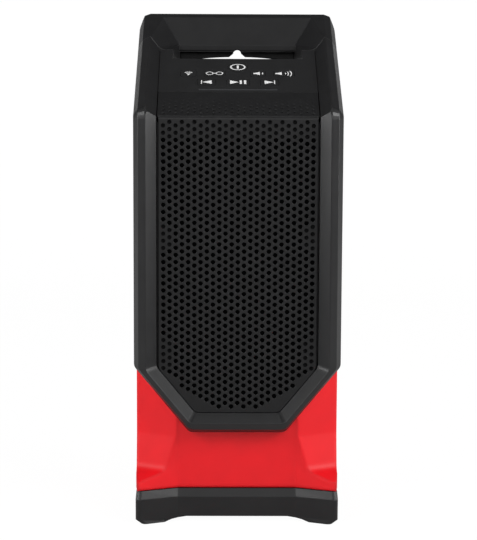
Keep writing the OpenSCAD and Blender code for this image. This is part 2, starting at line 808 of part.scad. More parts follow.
module main_board() {
    color(board_green) difference() {
        block(-board_x, board_x, board_y, board_y + board_t, board_low, board_high);
        at_board_screws() rod_y(0, 0, far, 0, 1.2 + gap / 2);
    }
}

module board_screws() {
    color(steel) at_board_screws() {
        rod_y(0, board_y - 1.9, board_y - 0.1, 0, 2.4);
        rod_y(0, board_y - 1, inner_back - 2, 0, 1.2);
    }
}

module heat_sink() {
    fin_w = 2;
    fin_step = 6;
    fins = 9;
    fin_l = 18;
    plate = 5;
    sink_h = 40;
    half = (fins - 1) * fin_step / 2;
    color("#9fa3a7") translate([-fin_w / 2, board_y - part_gap, board_high - sink_h - 14])
        linear_extrude(sink_h) {
            translate([-half, -plate]) square([2 * half + fin_w, plate]);
            for (i = [0:fins - 1])
                translate([i * fin_step - half, 1 - plate - fin_l]) square([fin_w, fin_l]);
        }
}

module capacitors() {
    color("#1f2a44") for (i = [-1:1])
        rod_y(i * (cap_d + 4), board_y - part_gap - cap_l, board_y - part_gap, cap_z, cap_d / 2);
}

module inductors() {
    color("#5b4a3a") for (s = [-1, 1]) translate([s * coil_x, board_y - part_gap - coil_t, coil_z])
        block(-coil_w / 2, coil_w / 2, 0, coil_t, -coil_w / 2, coil_w / 2);
}

module wireless_module() {
    module_w = 18;
    module_h = 14;
    module_t = 3;
    color("#c4c7c9") translate([-module_w / 2, board_y - part_gap - module_t, coil_z - module_h / 2])
        cube([module_w, module_t, module_h]);
}

// Port at the back, under a cover that swings on its own knuckle
port_x = 37 - half_w;
port_z = housing_low + 15.2;
cover_w = 32;
cover_h = 20;
cover_t = 1.7;
socket_w = 16;
socket_h = 8;

module usb_socket() {
    color(steel) translate([port_x, 0, port_z]) difference() {
        block(-socket_w / 2, socket_w / 2, inner_back - 16, back_y - cover_t - 1,
            -socket_h / 2, socket_h / 2);
        block(-4.6, 4.6, inner_back - 12, far, -1.8, 1.8);
    }
}

module port_cover() {
    mid = back_y - cover_t / 2;
    color("#1a1a1a") translate([port_x, 0, port_z]) {
        block(-cover_w / 2, cover_w / 2, mid - cover_t / 2, mid + cover_t / 2, -cover_h / 2, cover_h / 2);
        rod_z(-cover_w / 2, mid, -cover_h / 2, cover_h / 2, cover_t / 2);
    }
}

// Base: a shell whose corners are cut back in facets above forward toes
mid_y = frame_back - gap;
toe_y = mid_y + toe_out;
shell_low = bumper_z + gap;
shell_floor = shell_low + wall;
facet_x = toe_x + 2;
facet_rise = [bumper_z + 38, bumper_z + 13.3];
facet_lean = 5.8;
toe_in = 1.2;
toe_slope = 24;
scoop_r = 8;

module shell_plan() {
    polygon([[toe_x, -mid_y], [base_x - toe_in, -toe_y], [base_x, -mid_y], [base_x, back_y - back_r],
        [-base_x, back_y - back_r], [-base_x, -mid_y], [toe_in - base_x, -toe_y], [-toe_x, -mid_y]]);
    translate([back_r - base_x, 0]) square([2 * (base_x - back_r), back_y]);
    for (s = [-1, 1]) translate([s * (base_x - back_r), back_y - back_r]) circle(back_r);
}

// Cuts one front corner back: a steep facet, a hollow rounding and the sloped top of the toe
module corner_cut() {
    reach = 60;
    knee = [facet_lean, facet_rise.y];
    toe_end = knee + reach * [1, -tan(toe_slope)];
    translate([facet_x, -mid_y, 0]) rotate([0, 0, facet_a - 90]) translate([0, reach, 0]) rotate([90, 0, 0])
        linear_extrude(2 * reach) polygon(concat([[0, far], [0, facet_rise.x]],
            fillet([0, facet_rise.x], knee, toe_end, scoop_r, 6), [toe_end, [toe_end.x, far]]));
}

module shell_inside() {
    in_x = base_x - wall;
    in_r = back_r - wall;
    in_front = wall + 1 - mid_y + (in_x - facet_x) * tan(facet_a);
    half = [[facet_x - 1, wall - mid_y], [in_x, in_front], [in_x, inner_back - in_r],
        [in_x - in_r, inner_back]];
    translate([0, 0, shell_floor]) linear_extrude(far) polygon(concat(half, flip(half)));
}

module base_shell() {
    color(red) difference() {
        union() {
            difference() {
                translate([0, 0, shell_low]) linear_extrude(base_top - shell_low) shell_plan();
                difference() {
                    union() {
                        corner_cut();
                        mirror([1, 0, 0]) corner_cut();
                    }
                    front_prism(outline(sec_hood, far), -mid_y, 0);
                }
                shell_inside();
            }
            at_base_screws() rod_z(0, 0, shell_floor - 1, shell_floor + 9, 5);
        }
        front_prism(outline(sec_front_wall, far), -far, -mid_y / 2);
        block(-bay_x - gap, bay_x + gap, inner_back - 2 * wall, far, bay_low - gap, bay_high + gap);
        block(-scoop_x - gap, scoop_x + gap, inner_back - 2 * wall, far, scoop_low - gap, scoop_high + gap);
        at_base_screws() rod_z(0, 0, 0, shell_floor + 8, 2 + gap / 2);
    }
}

// Bumper: rings of its plan, each given by its inset and its height
bumper_out = front_y - toe_out;
bumper_back = front_y;
foot_in = 4;
foot_front = 0.4;
foot_h = 3.4;
band_in = 2.5;
tray_floor = 9;
foot_w = 20.5;
arch_side = [[base_x - foot_w, pad_out - 0.01], [base_x - foot_w - 5, pad_out + arch_h / 2],
    [base_x - foot_w - 15.5, pad_out + arch_h]];
arch_y = 38;

function bumper_ring(inset, side_inset, z) = let (
    x = base_x - side_inset,
    front = -front_y + inset,
    rear = bumper_back - inset,
    half = concat([[toe_x, inset - bumper_out]],
        fillet([toe_x, inset - bumper_out], [x, front], [x, 0], 3),
        fillet([x, 0], [x, rear], [0, rear], back_r, 6))
) [for (p = concat(half, flip(half))) [p.x, p.y, z]];

module loft(rings) {
    n = len(rings[0]);
    last = (len(rings) - 1) * n;
    polyhedron(points = [for (ring = rings) each ring], faces = concat(
        [[for (i = [0:n - 1]) i]],
        [[for (i = [n - 1:-1:0]) last + i]],
        [for (k = [0:len(rings) - 2], i = [0:n - 1]) each [
            [k * n + i, k * n + n + i, k * n + (i + 1) % n],
            [k * n + (i + 1) % n, k * n + n + i, k * n + n + (i + 1) % n]]]));
}

module base_bumper() {
    color(black) difference() {
        loft([bumper_ring(foot_front, foot_in, pad_out), bumper_ring(0, 0, foot_h),
            bumper_ring(0, 0, bumper_face), bumper_ring(band_in, 0.5, bumper_z)]);
        front_prism(concat(arch_side, flip(arch_side)), -far, far);
        side_prism([[-arch_y, 0], [5 - arch_y, arch_h + pad_out], [arch_y - 5, arch_h + pad_out],
            [arch_y, 0]], far);
        difference() {
            block(10 - base_x, base_x - 10, 10 - bumper_out, bumper_back - 12, tray_floor, far);
            at_base_screws() rod_z(0, 0, 0, bumper_z, 6);
        }
        at_base_screws() {
            rod_z(0, 0, -1, 6, head_r + 1.5 + gap);
            rod_z(0, 0, -1, far, 2 + gap / 2);
        }
        at_foot_pads() block(-7 - gap, 7 + gap, -6 - gap, 6 + gap, -1, pad_out + 2);
    }
}

module at_foot_pads() {
    for (s = [-1, 1], y = [14 - front_y, bumper_back - 14])
        translate([s * (base_x - 13), y, 0]) children();
}

module foot_pads() {
    color("#141414") at_foot_pads() block(-7, 7, -6, 6, 0, pad_out + 1.9);
}

module at_base_screws() {
    for (s = [-1, 1], y = [12 - mid_y, inner_back - 22]) translate([s * (base_x - 17), y, 0]) children();
}

module base_screws() {
    color(steel) at_base_screws() {
        rod_z(0, 0, 6 - head_h - 0.1, 5.9, head_r + 1.5);
        rod_z(0, 0, 5, shell_floor + 7, 2);
    }
}

// Battery bay and pack
pack_w = cell_l + 2 * pack_side;
bay_t = 2.5;
bay_side = 1.5;
bay_x = pack_w / 2 + bay_side + bay_t;
bay_low = shell_floor + gap;
pack_low = bay_low + bay_t + 1;
pack_high = pack_low + pack_h;
bay_high = pack_high + 1 + bay_t;
pack_rear = back_y + 1;
pack_front = pack_rear - pack_l;
bay_front = pack_front - 2 - bay_t;
bay_rear = back_y - 0.5;
rail_in = 2.2;
rail_z = [pack_high - 11, pack_high - 6];
rail_end = pack_rear - 23;
scoop_x = base_x - 12;
scoop_low = pack_low + 12;
scoop_high = pack_low + 43;
scoop_front = inner_back - 17;
case_t = 2.5;
split_z = pack_low + case_t + 2 * cell_d + 3;
lid_side = 7;

module battery_bay() {
    color(dark) difference() {
        union() {
            block(-bay_x, bay_x, bay_front, bay_rear, bay_low, bay_high);
            block(-scoop_x, scoop_x, scoop_front, bay_rear, scoop_low, scoop_high);
        }
        difference() {
            block(bay_t - bay_x, bay_x - bay_t, bay_front + bay_t, far, bay_low + bay_t, bay_high - bay_t);
            for (s = [-1, 1]) translate([s * (bay_x - bay_t - (bay_side + rail_in) / 2), 0, 0])
                block(-(bay_side + rail_in) / 2, (bay_side + rail_in) / 2, bay_front, rail_end,
                    rail_z[0] + 0.4, rail_z[1] - 0.4);
        }
        block(bay_t - scoop_x, scoop_x - bay_t, scoop_front + bay_t, far,
            scoop_low + bay_t, scoop_high - bay_t);
    }
}

// Terminals stand inside the front of the pack's lid
block_half = 20;
block_z = [split_z + 3, split_z + 11];
blade_x = [-13, 0, 13];

module terminal_block() {
    color("#1d1d1f") difference() {
        block(-block_half, block_half, bay_front + bay_t + 0.1, pack_front + 14, block_z[0], block_z[1]);
        for (x = blade_x) block(x - 0.8, x + 0.8, pack_front + 4, far, block_z[0] + 1, block_z[1] - 1);
    }
}

module terminal_blades() {
    color("#c79a4a") for (x = blade_x)
        block(x - 0.6, x + 0.6, pack_front + 4.1, pack_front + 24, block_z[0] + 1.2, block_z[1] - 1.2);
}

latch_z = (scoop_low + scoop_high) / 2;
latch_h = 18;
latch_w = 13;
latch_y = pack_rear - 10;
latch_out = 2.3;
latch_t = 5.2;
latch_seat = pack_w / 2 + latch_out - latch_t - latch_travel - gap;
latch_boss = latch_t + 2.2;

module battery_case() {
    x = pack_w / 2;
    color("#1e1f21") difference() {
        block(-x, x, pack_front, pack_rear, pack_low, split_z);
        difference() {
            block(case_t - x, x - case_t, pack_front + case_t, pack_rear - case_t, pack_low + case_t, far);
            for (s = [-1, 1]) translate([s * (x - latch_boss / 2), latch_y, latch_z])
                block(-latch_boss / 2, latch_boss / 2, -latch_w / 2 - 2, far,
                    -latch_h / 2 - 2, latch_h / 2 + 2);
        }
        for (s = [-1, 1]) translate([s * (latch_seat + 10), latch_y, latch_z])
            block(-10, 10, -latch_w / 2 - gap, latch_w / 2 + gap, -latch_h / 2 - gap, latch_h / 2 + gap);
    }
}

module battery_lid() {
    x = pack_w / 2;
    color("#2a2b2e") difference() {
        block(-x, x, pack_front, pack_rear, split_z + 0.1, pack_high);
        block(lid_side - x, x - lid_side, pack_front + case_t, pack_rear - case_t, 0, pack_high - case_t);
        block(-block_half - 2, block_half + 2, pack_front - 1, pack_front + 2 * case_t,
            0, block_z[1] + 1.5);
        for (s = [-1, 1]) translate([s * x, 0, 0])
            block(-rail_in - 0.5, rail_in + 0.5, pack_front - 1, rail_end + 1, rail_z[0], rail_z[1]);
    }
}

module battery_cells() {
    pitch = cell_d + 0.4;
    start = pack_front + pack_l / 2 - 2 * pitch;
    color("#3d7a4a") for (i = [0:4], k = [0:1])
        translate([-cell_l / 2, start + i * pitch, pack_low + case_t + 0.1 + cell_d / 2 + k * pitch])
            rotate([0, 90, 0]) cylinder(h = cell_l, d = cell_d);
}

module battery_latch(side) {
    color(red) translate([side * (pack_w / 2 + latch_out - latch_t / 2), latch_y, latch_z])
        block(-latch_t / 2, latch_t / 2, -latch_w / 2, latch_w / 2, -latch_h / 2, latch_h / 2);
}

module battery_latch_left() { battery_latch(-1); }
module battery_latch_right() { battery_latch(1); }

front_frame();
front_grille();
grille_cloth();
frame_gasket();
driver_baffle();
rear_housing();
carry_handle();
handle_screws();
housing_screws();
control_panel();
status_light();
power_button();
wireless_button();
link_button();
volume_down_button();
volume_up_button();
previous_button();
play_button();
next_button();
keypad_board();
keypad_switches();
keypad_screws();
woofer_basket();
woofer_magnet();
woofer_surround();
woofer_spider();
woofer_cone();
woofer_dust_cap();
voice_coil();
woofer_screws();
tweeter_body();
tweeter_dome();
tweeter_screws();
main_board();
board_screws();
heat_sink();
capacitors();
inductors();
wireless_module();
usb_socket();
port_cover();
base_shell();
base_bumper();
foot_pads();
base_screws();
battery_bay();
terminal_block();
terminal_blades();
battery_case();
battery_lid();
battery_cells();
battery_latch_left();
battery_latch_right();
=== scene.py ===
"""Looks of a jobsite speaker: black frame and grille, sloped button panel, carry handle and red base."""
import json
import math

import bmesh
import bpy
from mathutils import Matrix, Vector
from mathutils.geometry import delaunay_2d_cdt


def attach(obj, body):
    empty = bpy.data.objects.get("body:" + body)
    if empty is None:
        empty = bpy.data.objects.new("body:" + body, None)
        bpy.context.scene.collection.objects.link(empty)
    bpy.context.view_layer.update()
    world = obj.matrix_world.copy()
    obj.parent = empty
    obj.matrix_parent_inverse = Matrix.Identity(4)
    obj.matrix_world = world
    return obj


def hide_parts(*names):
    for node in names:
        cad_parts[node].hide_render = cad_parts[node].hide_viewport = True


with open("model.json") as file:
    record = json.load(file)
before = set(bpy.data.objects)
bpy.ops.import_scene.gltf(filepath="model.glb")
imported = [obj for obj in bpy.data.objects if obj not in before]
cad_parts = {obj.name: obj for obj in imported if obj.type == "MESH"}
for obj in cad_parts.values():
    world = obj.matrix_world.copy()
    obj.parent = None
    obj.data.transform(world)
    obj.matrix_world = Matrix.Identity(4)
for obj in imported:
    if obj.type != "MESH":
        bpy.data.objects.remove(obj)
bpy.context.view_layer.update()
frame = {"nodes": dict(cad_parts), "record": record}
nodes = frame["nodes"]
MM = 0.001
WHITE = (1, 1, 1, 1)

# Camera at the photograph's place and angle: the focal length is in pixels of a 477 by 540 image
FOCAL_PX = 1750
IMAGE_H = 540
SENSOR_MM = 36
EYE = Vector((-13.59, -1271.8, 350.25)) * MM
PITCH, YAW, ROLL = (math.radians(angle) for angle in (7.877, -0.664, -0.262))

# Grille in millimetres, as in the solids: face, thickness, fold, and its top's slope, bend and end
GRILLE_Y = 57
GRILLE_T = 2
FOLD_Z = 289.24
SLOPE = math.radians(28.5)
FOLD_A = (math.pi / 2 - SLOPE) / 2
BEND_R = 3
BEND_ARC = BEND_R * 2 * FOLD_A
FLAT_TOP = FOLD_Z - BEND_R * math.tan(FOLD_A)
GRILLE_TOP = 33
SLOPE_RUN = BEND_ARC + GRILLE_TOP - BEND_R * math.tan(FOLD_A)
# Half widths of the front and of the slope, and the two ends of the cut low corner with their rounding
GRILLE_X = 55.4
SLOPE_X = 56.4
CUT_LOW = Vector((29.65, 80.4))
CUT_HIGH = Vector((GRILLE_X, 111.76))
CUT_R = 6
CUT_STEPS = 4

# Holes of the grille: rows at a pitch, in columns where each even one stands half a pitch higher
HOLE_PITCH = 5.03
HOLE_COL = HOLE_PITCH * math.cos(math.radians(30))
HOLE_R = 1.6
HOLE_SIDES = 20
HOLE_LOW = 84.4
HOLE_ROWS = 41
HOLE_COLS = 12
ROW_SHIFT = (0.5, 0)
# The low end climbs with the cut corner past one column, and by a whole pitch more past another
CLIMB_COL = 4
STEP_COL = 9
# A hole that is below the low end by no more than this is still made
LOW_SLACK = 0.1
# Blind dimples: the top rows, and the rows of the outer columns that stand in front of bosses
BLIND_ROWS = 3
BLIND_COLS = 2
BOSS_ROWS = ((5.3, 9.7), (22.3, 25.7))
# Radius and depth of the rings that a hole and a dimple are made of, from the face inwards
HOLE_RINGS = ((HOLE_R + 0.3, 0), (HOLE_R + 0.08, 0.15), (HOLE_R, 0.4), (HOLE_R, GRILLE_T))
DIMPLE_RINGS = ((HOLE_R - 0.05, 0), (HOLE_R - 0.3, 0.3), (HOLE_R - 0.4, 1.2), (HOLE_R - 0.8, 1.4))
# Dents on the slope, up to 1 mm deep: radius, run in which they fade, depth past which a floor is painted
# dark as shade, mesh size
DENT_R = 1.4
DENT_FADE = 30
DENT_SHADE_DEPTH = 0.2
DENT_STEP = 0.5

# Symbols: where each one's middle is, across and up the slope from the fold
SYMBOL_AT = {"power": (0, 68.9), "wireless": (-35.6, 59.8), "link": (-16.8, 59.8),
             "volume_down": (14.5, 59.8), "volume_up": (33.2, 59.8),
             "previous": (-22.6, 47.4), "play": (0, 47.4), "next": (22.6, 47.4)}
# Thickness of their ink, widths of their strokes, half height of their arrows, and how finely arcs are drawn
FILM_T = 0.04
THIN_STROKE = 0.7
WAVE_STROKE = 0.8
ARROW_HALF = 2.5
ARC_STEP_DEG = 12
ARC_LEAST_STEPS = 4

# Points nearer than this, in metres, are one point of a piece, and in millimetres of its flat outline
MERGE = 1e-6
OUTLINE_MERGE_MM = 1e-5

# Rounding of moulded edges in millimetres
EDGE_MM = {"front_frame": 0.8, "carry_handle": 0.8, "base_shell": 0.8, "rear_housing": 0.8,
           "control_panel": 0.4, "battery_case": 0.6, "battery_lid": 0.6, "battery_bay": 0.5,
           "port_cover": 0.4}
# It is made where faces meet at more than EDGE_DEG, once near points are joined and faces in line are one
EDGE_DEG = 25
EDGE_STEPS = 2
FLAT_DEG = 0.5
WELD_MM = 0.01

# Boxes, as middle and half size, where the bumper's mesh folds: under the red shell, and the left front sole
BUMPER_FOLDS = [((0, -54, 23.7), (80, 9.5, 0.1)), ((-58, -54, 0.3), (14, 12, 0.1))]
# A face is level where at least this much of its normal points up or down
LEVEL_SHARE = 0.99

# Soft boxes: name, angle round from the front, angle up, width and height in metres, watts
LAMPS = [("soft_box_left", -38, 30, (0.6, 0.6), 8), ("soft_box_right", 38, 30, (0.6, 0.6), 8),
         ("fill_box_left", -65, 30, (0.6, 0.6), 5), ("fill_box_right", 65, 30, (0.6, 0.6), 9),
         ("side_strip_left", -85, 8, (0.5, 0.45), 9), ("side_strip_right", 85, 8, (0.5, 0.45), 9.5),
         ("front_box", 0, 16, (0.6, 0.4), 2.2), ("top_box", 0, 85, (0.6, 0.4), 1.6)]
LAMP_AWAY = 1.7
LAMP_AIM = Vector((0, 0, 0.19))
# Strength of the surround as light, and as reflections show it
SURROUND = 0.04
SURROUND_SHINE = 0.1

# Paper sweep in metres: a wide floor from far in front, then a narrower sheet that turns up behind
SWEEP_REACH = 4
SWEEP_HALF = 0.75
SWEEP_TURN_Y = 1
SWEEP_TURN_R = 0.4
SWEEP_TURN_STEPS = 10
SWEEP_TOP = 0.9
# The paper's tone as light falls on it, and how much duller reflections find it
PAPER_TONE = 0.9
PAPER_DULLER = 0.4
# The paper's own white, and its share in what the camera sees and in reflections of the front and the back
PAPER_WHITE = 1.03
SEEN_SHARE = 0.94
SHINE_FRONT = 0.08
SHINE_BACK = 1
SHINE_FRONT_Y = 0.15
SHINE_BACK_Y = 0.6

# Plastic and metal: width of the faint clouds, the middle span of a noise, and how far the gloss strays
CLOUD_MM = 14
NOISE_LOW = 0.3
NOISE_HIGH = 0.7
PEBBLE_GLOSS = 0.06
SCRATCH_GLOSS = 0.08
# A Mix node's sockets for colour: the two inputs and the result
MIX_FIRST = 6
MIX_SECOND = 7
MIX_RESULT = 2


def linear(hex_colour):
    """sRGB hex to linear colour."""
    parts = [int(hex_colour[i:i + 2], 16) / 255 for i in (1, 3, 5)]
    return [p / 12.92 if p <= 0.04045 else ((p + 0.055) / 1.055) ** 2.4 for p in parts] + [1]


def add_node(tree, kind, settings=None, inputs=None):
    """Adds a node, sets its options, then sets or links its inputs."""
    made = tree.nodes.new(kind)
    for option, value in (settings or {}).items():
        setattr(made, option, value)
    for socket, value in (inputs or {}).items():
        if isinstance(value, bpy.types.NodeSocket):
            tree.links.new(value, made.inputs[socket])
        else:
            made.inputs[socket].default_value = value
    return made


def new_material(name):
    """A material with only an output in its node tree."""
    made = bpy.data.materials.new(name)
    made.use_nodes = True
    made.node_tree.nodes.clear()
    return made, made.node_tree, made.node_tree.nodes.new("ShaderNodeOutputMaterial")


def moulded(name, colour, roughness, grain_mm, grain_depth, specular, mottle=0.15, edge_mm=0.6, ior=1.53):
    """Moulded plastic or rubber: a fine pebble, a broken gloss, and edges that catch light softly."""
    made, tree, out = new_material(name)
    place = add_node(tree, "ShaderNodeTexCoord").outputs["Object"]
    grain = add_node(tree, "ShaderNodeTexNoise", None, {
        "Vector": place, "Scale": 1 / (grain_mm * MM), "Detail": 3, "Roughness": 0.6}).outputs["Fac"]
    cloud = add_node(tree, "ShaderNodeTexNoise", None, {
        "Vector": place, "Scale": 1 / (CLOUD_MM * MM), "Detail": 2, "Roughness": 0.5}).outputs["Fac"]
    tone = add_node(tree, "ShaderNodeMapRange", None, {
        "Value": cloud, "From Min": NOISE_LOW, "From Max": NOISE_HIGH,
        "To Min": 1 - mottle, "To Max": 1 + mottle})
    base = add_node(tree, "ShaderNodeMix", {"data_type": "RGBA", "blend_type": "MULTIPLY"}, {
        "Factor": 1, MIX_FIRST: linear(colour), MIX_SECOND: tone.outputs["Result"]})
    rough = add_node(tree, "ShaderNodeMapRange", None, {
        "Value": grain, "From Min": NOISE_LOW, "From Max": NOISE_HIGH,
        "To Min": roughness - PEBBLE_GLOSS, "To Max": roughness + PEBBLE_GLOSS})
    edge = add_node(tree, "ShaderNodeBevel", {"samples": 6}, {"Radius": edge_mm * MM})
    bump = add_node(tree, "ShaderNodeBump", None, {
        "Height": grain, "Strength": 1, "Distance": grain_depth * MM, "Normal": edge.outputs["Normal"]})
    shader = add_node(tree, "ShaderNodeBsdfPrincipled", None, {
        "Base Color": base.outputs[MIX_RESULT], "Roughness": rough.outputs["Result"],
        "Normal": bump.outputs["Normal"], "IOR": ior, "Specular IOR Level": specular})
    tree.links.new(shader.outputs["BSDF"], out.inputs["Surface"])
    return made


def metal(name, colour, roughness, grain_mm):
    """Plated or bare metal with fine handling scratches in its gloss."""
    made, tree, out = new_material(name)
    place = add_node(tree, "ShaderNodeTexCoord").outputs["Object"]
    scratch = add_node(tree, "ShaderNodeTexNoise", None, {
        "Vector": place, "Scale": 1 / (grain_mm * MM), "Detail": 4, "Roughness": 0.7}).outputs["Fac"]
    rough = add_node(tree, "ShaderNodeMapRange", None, {
        "Value": scratch, "From Min": NOISE_LOW, "From Max": NOISE_HIGH,
        "To Min": roughness - SCRATCH_GLOSS, "To Max": roughness + SCRATCH_GLOSS})
    shader = add_node(tree, "ShaderNodeBsdfPrincipled", None, {
        "Base Color": linear(colour), "Metallic": 1, "Roughness": rough.outputs["Result"]})
    tree.links.new(shader.outputs["BSDF"], out.inputs["Surface"])
    return made


# Finishes: name, colour, roughness, the grain's width in millimetres, and where moulded its depth and gloss.
# A mould's pebble is about 0.15 mm wide, and pores, fibres and scratches are finer still. None of them would
# show, so the grain is drawn 0.5 to 2 mm wide.

# ABS, injection moulded in an etched tool: a satin black whose pebble breaks up the shine
frame_abs = moulded("textured_abs_frame", "#1a1a1b", 0.36, 0.9, 0.02, 0.47, edge_mm=0.7)
grille_abs = moulded("textured_abs_grille", "#181819", 0.4, 0.9, 0.02, 0.32)
housing_abs = moulded("textured_abs_housing", "#1a1a1b", 0.42, 0.9, 0.02, 0.3, edge_mm=1.2)
panel_abs = moulded("matte_abs_panel", "#1a1a1b", 0.42, 0.7, 0.01, 0.45, edge_mm=0.1)
# The same ABS at the floor of a dimple, dull as the tool's pins are not polished; its darker colour is
# painted shade in the hollows
dimple_shade_abs = moulded("dull_abs_painted_shade_dimple", "#0c0c0d", 0.7, 0.7, 0.01, 0.1, edge_mm=0.1)
# Red ABS from a smoother tool: an even, strong colour with broad soft edges
red_abs = moulded("satin_red_abs", "#e3121c", 0.42, 1.6, 0.01, 0.3, mottle=0.03, edge_mm=4)
# ABS off a plain tool inside, and a coarser etched tool for the battery: duller than the frame
inner_abs = moulded("plain_abs_inner", "#1d1d1f", 0.5, 1.2, 0.02, 0.3)
battery_abs = moulded("textured_abs_battery", "#242426", 0.58, 1.0, 0.05, 0.25)
# Thermoplastic elastomer, overmoulded: a deep black with a low sheen
bumper_tpe = moulded("moulded_tpe_bumper", "#151516", 0.4, 1.0, 0.02, 0.45, edge_mm=1.2, ior=1.5)
# Compression moulded rubber: dull and dusty black
soft_rubber = moulded("black_rubber", "#161617", 0.75, 0.8, 0.05, 0.2, ior=1.52)
# Pad-printed ink: a flat, even white film
mark_ink = moulded("white_pad_print", "#f2f2f2", 0.5, 0.6, 0.005, 0.3, mottle=0.02, ior=1.5)
# Smoked polycarbonate, moulded: a grey line when it is off
light_pc = moulded("smoked_polycarbonate_light", "#3a3b3d", 0.4, 1.5, 0.005, 0.3, ior=1.585)
# Epoxy solder mask, cured over glass fibre: an even green with a soft gloss
board_fr4 = moulded("green_solder_mask", "#1c5234", 0.35, 2.0, 0.02, 0.5, ior=1.55)
# Woven polyester: the threads, really 0.2 mm and drawn 0.5 mm, take all the shine away
acoustic_cloth = moulded("black_acoustic_cloth", "#060607", 0.95, 0.5, 0.1, 0.05, ior=1.57)
# Cotton cloth set with resin: a brown, rough weave
spider_cloth = moulded("resin_cloth", "#8a6a3c", 0.85, 0.5, 0.08, 0.2, ior=1.55)
# Pressed paper pulp with a coat: a dull black with soft fibres
cone_paper = moulded("coated_paper", "#1b1b1d", 0.7, 1.0, 0.06, 0.3, ior=1.5)
# PVC film shrunk on with heat: smooth and fairly glossy
sleeve_pvc = moulded("blue_shrink_sleeve", "#1f2a4c", 0.3, 2.0, 0.01, 0.5, ior=1.54)
cell_pvc = moulded("green_cell_sleeve", "#3d7a4a", 0.3, 2.0, 0.01, 0.5, ior=1.54)
# Steel with bright zinc from a bath, and pressed steel with a dark coat: grey, with a broken gloss
zinc_steel = metal("zinc_plated_steel", "#b9bcc0", 0.35, 0.8)
coated_steel = metal("dark_coated_steel", "#6a6b6e", 0.45, 0.8)
# Aluminium as it leaves the die, and copper alloy as rolled or drawn: bare metal with fine scratches
bare_aluminium = metal("extruded_aluminium", "#c9ccd0", 0.4, 0.8)
copper = metal("copper_alloy", "#c98a4b", 0.3, 0.8)

SLOT_FINISH = {
    "frame_plastic": frame_abs, "grille_plastic": grille_abs, "housing_plastic": housing_abs,
    "panel_plastic": panel_abs, "button_plastic": panel_abs, "red_plastic": red_abs,
    "bumper_rubber": bumper_tpe, "black_rubber": soft_rubber, "acoustic_cloth": acoustic_cloth,
    "light_lens": light_pc, "inner_plastic": inner_abs, "screw_steel": zinc_steel,
    "stamped_steel": coated_steel, "bare_aluminium": bare_aluminium, "copper_alloy": copper,
    "circuit_board": board_fr4, "sleeve_plastic": sleeve_pvc, "spider_cloth": spider_cloth,
    "cone_paper": cone_paper, "battery_plastic": battery_abs, "cell_sleeve": cell_pvc}


def finish_solids():
    """Every solid gets the finish of its slot."""
    for part in frame["record"]["subparts"]:
        solid = nodes[part["node"]]
        solid.data.materials.clear()
        solid.data.materials.append(SLOT_FINISH[part["material_slot"]])


def soften(name, width_mm):
    """Rounds a solid's hard edges as its mould does, and lets the flats keep their shade."""
    solid = nodes[name]
    weld = solid.modifiers.new("weld", "WELD")
    weld.merge_threshold = WELD_MM * MM
    flat = solid.modifiers.new("flats", "DECIMATE")
    flat.decimate_type = "DISSOLVE"
    flat.angle_limit = math.radians(FLAT_DEG)
    bevel = solid.modifiers.new("round", "BEVEL")
    bevel.width = width_mm * MM
    bevel.segments = EDGE_STEPS
    bevel.limit_method = "ANGLE"
    bevel.angle_limit = math.radians(EDGE_DEG)
    shade = solid.modifiers.new("shade", "WEIGHTED_NORMAL")
    shade.keep_sharp = True


def trim_folds(name, boxes):
    """Leaves out a solid's level faces in some boxes, where its mesh folds out past the solid."""
    tree = bpy.data.node_groups.new("trim_folds", "GeometryNodeTree")
    for side in ("INPUT", "OUTPUT"):
        tree.interface.new_socket("Geometry", in_out=side, socket_type="NodeSocketGeometry")
    solid = add_node(tree, "NodeGroupInput").outputs[0]
    place = add_node(tree, "GeometryNodeInputPosition").outputs[0]
    normal = add_node(tree, "GeometryNodeInputNormal").outputs[0]
    facing = add_node(tree, "ShaderNodeSeparateXYZ", None, {0: normal}).outputs["Z"]
    upright = add_node(tree, "ShaderNodeMath", {"operation": "ABSOLUTE"}, {0: facing}).outputs[0]
    level = add_node(tree, "FunctionNodeCompare", {"operation": "GREATER_THAN"},
                     {0: upright, 1: LEVEL_SHARE}).outputs[0]
    for middle, half in boxes:
        away = add_node(tree, "ShaderNodeVectorMath", {"operation": "SUBTRACT"},
                        {0: place, 1: Vector(middle) * MM})
        share = add_node(tree, "ShaderNodeVectorMath", {"operation": "DIVIDE"},
                         {0: away.outputs[0], 1: Vector(half) * MM})
        size = add_node(tree, "ShaderNodeVectorMath", {"operation": "ABSOLUTE"}, {0: share.outputs[0]})
        inside = level
        for axis in add_node(tree, "ShaderNodeSeparateXYZ", None, {0: size.outputs[0]}).outputs:
            within = add_node(tree, "FunctionNodeCompare", {"operation": "LESS_THAN"}, {0: axis, 1: 1})
            inside = add_node(tree, "FunctionNodeBooleanMath", {"operation": "AND"},
                              {0: inside, 1: within.outputs[0]}).outputs[0]
        solid = add_node(tree, "GeometryNodeDeleteGeometry", {"domain": "FACE"},
                         {"Geometry": solid, "Selection": inside}).outputs[0]
    add_node(tree, "NodeGroupOutput", None, {0: solid})
    nodes[name].modifiers.new("trim", "NODES").node_group = tree


def mesh_piece(name, built, finish, body):
    """Turns a built bmesh into a piece that rides on a body."""
    mesh = bpy.data.meshes.new(name)
    built.to_mesh(mesh)
    built.free()
    piece = bpy.data.objects.new(name, mesh)
    bpy.context.scene.collection.objects.link(piece)
    mesh.materials.append(finish)
    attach(piece, body)
    return piece


